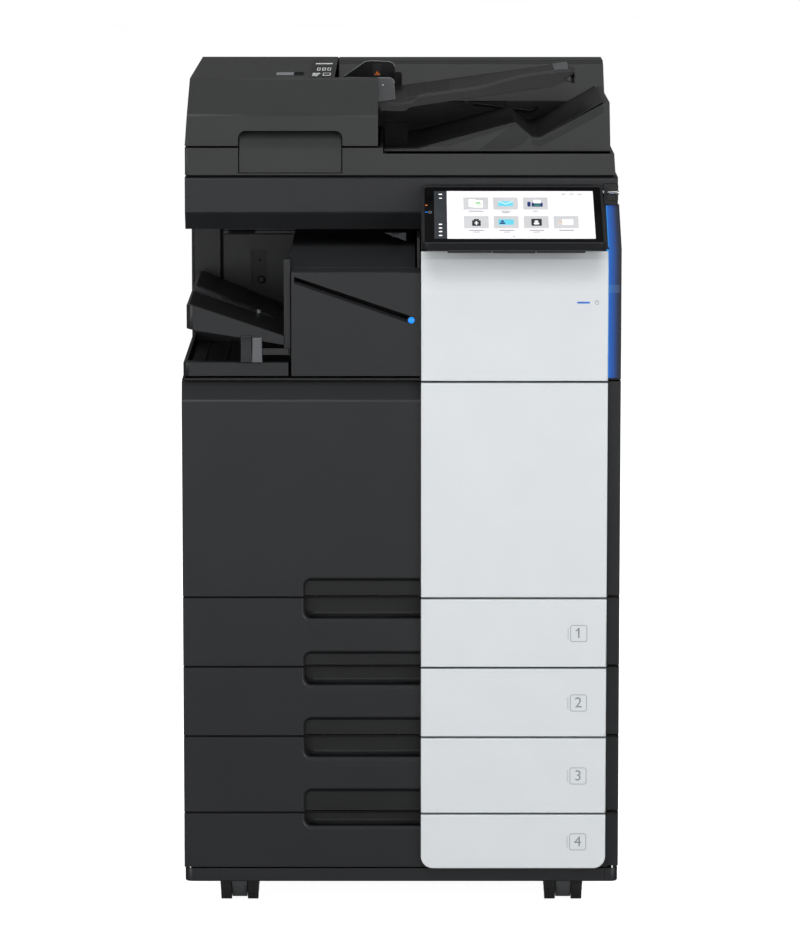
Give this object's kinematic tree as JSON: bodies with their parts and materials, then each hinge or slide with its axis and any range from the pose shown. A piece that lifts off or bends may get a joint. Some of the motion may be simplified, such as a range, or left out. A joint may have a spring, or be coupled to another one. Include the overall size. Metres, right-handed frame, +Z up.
{
  "type": "photocopier",
  "caption": "Floor-standing office photocopier with a document feeder, touch panel, paper drawers, an inner finisher with output trays, and casters.",
  "frame": {"origin": "on the floor, under the centre of the machine's bounding box", "axes": "+Z up, -Y towards the person using it, +X to that person's right"},
  "size_m": [0.615, 0.686, 1.1777],
  "materials": {
    "dark_shell": "fine textured moulded ABS, charcoal",
    "white_shell": "fine textured moulded ABS, cool white",
    "inner_black": "plain moulded ABS, black",
    "galvanised_steel": "zinc-coated sheet steel",
    "clear_glass": "float glass",
    "screen_glass": "black-bordered cover glass",
    "platen_pad": "white film over foam",
    "stylus_metal": "satin metal-coated barrel",
    "roller_rubber": "matt rubber",
    "transfer_belt": "smooth polyimide belt",
    "toner_yellow": "moulded polypropylene",
    "toner_magenta": "moulded polypropylene",
    "toner_cyan": "moulded polypropylene",
    "toner_black": "moulded polypropylene",
    "caster_grey": "glass-filled nylon, mid grey",
    "caster_wheel": "hard dark tread"
  },
  "bodies": {
    "root": {"base_plate": "galvanised_steel", "frame_plates": "galvanised_steel", "left_covers": "dark_shell", "right_covers": "dark_shell", "rear_cover": "dark_shell", "skirt": "dark_shell", "output_bay": "dark_shell", "upper_front_cover": "dark_shell", "toner_yellow": "toner_yellow", "toner_magenta": "toner_magenta", "toner_cyan": "toner_cyan", "toner_black": "toner_black", "scanner_housing": "dark_shell", "platen_glass": "clear_glass", "feeder_hinges": "galvanised_steel", "panel_mount": "dark_shell", "laser_unit": "inner_black", "imaging_units": "inner_black", "transfer_unit": "transfer_belt", "fuser_unit": "inner_black", "waste_toner_box": "inner_black", "electronics": "inner_black", "power_inlet": "inner_black"},
    "feeder": {"feeder_base": "dark_shell", "platen_pad": "platen_pad", "feeder_housing": "dark_shell"},
    "feeder_cover": {"feeder_cover": "dark_shell"},
    "pickup_roller": {"pickup_roller": "roller_rubber"},
    "document_tray": {"feed_tray": "dark_shell"},
    "front_guide": {"guide_front": "inner_black"},
    "rear_guide": {"guide_rear": "inner_black"},
    "scan_carriage": {"scan_carriage": "inner_black"},
    "touch_panel": {"control_panel": "dark_shell", "touch_screen": "screen_glass"},
    "stylus": {"stylus": "stylus_metal"},
    "toner_door": {"toner_door": "white_shell"},
    "front_door": {"front_door": "dark_shell", "front_door_panel": "white_shell"},
    "tray_1": {"tray_1": "dark_shell", "tray_panel_1": "white_shell"},
    "tray_2": {"tray_2": "dark_shell", "tray_panel_2": "white_shell"},
    "tray_3": {"tray_3": "dark_shell", "tray_panel_3": "white_shell"},
    "tray_4": {"tray_4": "dark_shell", "tray_panel_4": "white_shell"},
    "finisher": {"finisher_case": "inner_black", "upper_output_tray": "dark_shell", "lower_output_tray": "dark_shell"},
    "finisher_door": {"finisher_door": "dark_shell"},
    "side_door": {"side_door": "dark_shell"},
    "bypass_tray": {"bypass_tray": "dark_shell"},
    "caster_front_left": {"caster_front_left": "caster_grey"},
    "caster_front_right": {"caster_front_right": "caster_grey"},
    "caster_rear_left": {"caster_rear_left": "caster_grey"},
    "caster_rear_right": {"caster_rear_right": "caster_grey"},
    "wheels_front_left": {"wheels_front_left": "caster_wheel"},
    "wheels_front_right": {"wheels_front_right": "caster_wheel"},
    "wheels_rear_left": {"wheels_rear_left": "caster_wheel"},
    "wheels_rear_right": {"wheels_rear_right": "caster_wheel"}
  },
  "joints": [
    {"name": "feeder_lift", "type": "hinge", "parent": "root", "child": "feeder", "pos_m": [0, 0.3365, 1.0508], "axis": [-1, 0, 0], "range_deg": [0, 60]},
    {"name": "feeder_cover_hinge", "type": "hinge", "parent": "feeder", "child": "feeder_cover", "pos_m": [-0.303, 0, 1.0848], "axis": [0, -1, 0], "range_deg": [0, 70]},
    {"name": "pickup_roller_turn", "type": "hinge", "parent": "feeder", "child": "pickup_roller", "pos_m": [-0.15, 0, 1.149], "axis": [0, 1, 0], "continuous": true},
    {"name": "document_tray_hinge", "type": "hinge", "parent": "feeder", "child": "document_tray", "pos_m": [-0.088, 0, 1.12812], "axis": [0, -1, 0], "range_deg": [0, 18]},
    {"name": "guide_front_slide", "type": "slide", "parent": "document_tray", "child": "front_guide", "axis": [0, 1, 0], "range_m": [0, 0.09]},
    {"name": "guide_rear_slide", "type": "slide", "parent": "document_tray", "child": "rear_guide", "axis": [0, -1, 0], "range_m": [0, 0.09]},
    {"name": "carriage_travel", "type": "slide", "parent": "root", "child": "scan_carriage", "axis": [1, 0, 0], "range_m": [0, 0.44]},
    {"name": "panel_tilt", "type": "hinge", "parent": "root", "child": "touch_panel", "pos_m": [0.156, -0.318, 0.95145], "axis": [1, 0, 0], "range_deg": [0, 22]},
    {"name": "stylus_pull", "type": "slide", "parent": "root", "child": "stylus", "axis": [1, 0, 0], "range_m": [0, 0.09]},
    {"name": "toner_door_hinge", "type": "hinge", "parent": "root", "child": "toner_door", "pos_m": [0.158, -0.288, 0.768], "axis": [1, 0, 0], "range_deg": [0, 80]},
    {"name": "front_door_hinge", "type": "hinge", "parent": "root", "child": "front_door", "pos_m": [0, -0.288, 0.4615], "axis": [1, 0, 0], "range_deg": [0, 85]},
    {"name": "tray_1_slide", "type": "slide", "parent": "root", "child": "tray_1", "axis": [0, -1, 0], "range_m": [0, 0.42]},
    {"name": "tray_2_slide", "type": "slide", "parent": "root", "child": "tray_2", "axis": [0, -1, 0], "range_m": [0, 0.42]},
    {"name": "tray_3_slide", "type": "slide", "parent": "root", "child": "tray_3", "axis": [0, -1, 0], "range_m": [0, 0.42]},
    {"name": "tray_4_slide", "type": "slide", "parent": "root", "child": "tray_4", "axis": [0, -1, 0], "range_m": [0, 0.42]},
    {"name": "finisher_slide", "type": "slide", "parent": "root", "child": "finisher", "axis": [-1, 0, 0], "range_m": [0, 0.12]},
    {"name": "finisher_door_hinge", "type": "hinge", "parent": "finisher", "child": "finisher_door", "pos_m": [-0.1495, -0.278, 0.837], "axis": [0, 0, -1], "range_deg": [0, 95]},
    {"name": "side_door_hinge", "type": "hinge", "parent": "root", "child": "side_door", "pos_m": [0.304, 0.247, 0.52], "axis": [0, 0, 1], "range_deg": [0, 80]},
    {"name": "bypass_hinge", "type": "hinge", "parent": "side_door", "child": "bypass_tray", "pos_m": [0.3043, 0.03, 0.5258], "axis": [0, 1, 0], "range_deg": [0, 75]},
    {"name": "swivel_front_left", "type": "hinge", "parent": "root", "child": "caster_front_left", "pos_m": [-0.232, -0.2, 0.04], "axis": [0, 0, 1], "continuous": true},
    {"name": "roll_front_left", "type": "hinge", "parent": "caster_front_left", "child": "wheels_front_left", "pos_m": [-0.232, -0.184, 0.025], "axis": [1, 0, 0], "continuous": true},
    {"name": "swivel_front_right", "type": "hinge", "parent": "root", "child": "caster_front_right", "pos_m": [0.232, -0.2, 0.04], "axis": [0, 0, 1], "continuous": true},
    {"name": "roll_front_right", "type": "hinge", "parent": "caster_front_right", "child": "wheels_front_right", "pos_m": [0.232, -0.184, 0.025], "axis": [1, 0, 0], "continuous": true},
    {"name": "swivel_rear_left", "type": "hinge", "parent": "root", "child": "caster_rear_left", "pos_m": [-0.232, 0.27, 0.04], "axis": [0, 0, 1], "continuous": true},
    {"name": "roll_rear_left", "type": "hinge", "parent": "caster_rear_left", "child": "wheels_rear_left", "pos_m": [-0.232, 0.286, 0.025], "axis": [1, 0, 0], "continuous": true},
    {"name": "swivel_rear_right", "type": "hinge", "parent": "root", "child": "caster_rear_right", "pos_m": [0.232, 0.27, 0.04], "axis": [0, 0, 1], "continuous": true},
    {"name": "roll_rear_right", "type": "hinge", "parent": "caster_rear_right", "child": "wheels_rear_right", "pos_m": [0.232, 0.286, 0.025], "axis": [1, 0, 0], "continuous": true}
  ],
  "couplings": [
    {"joint": "guide_rear_slide", "follows": "guide_front_slide", "ratio": 1}
  ]
}
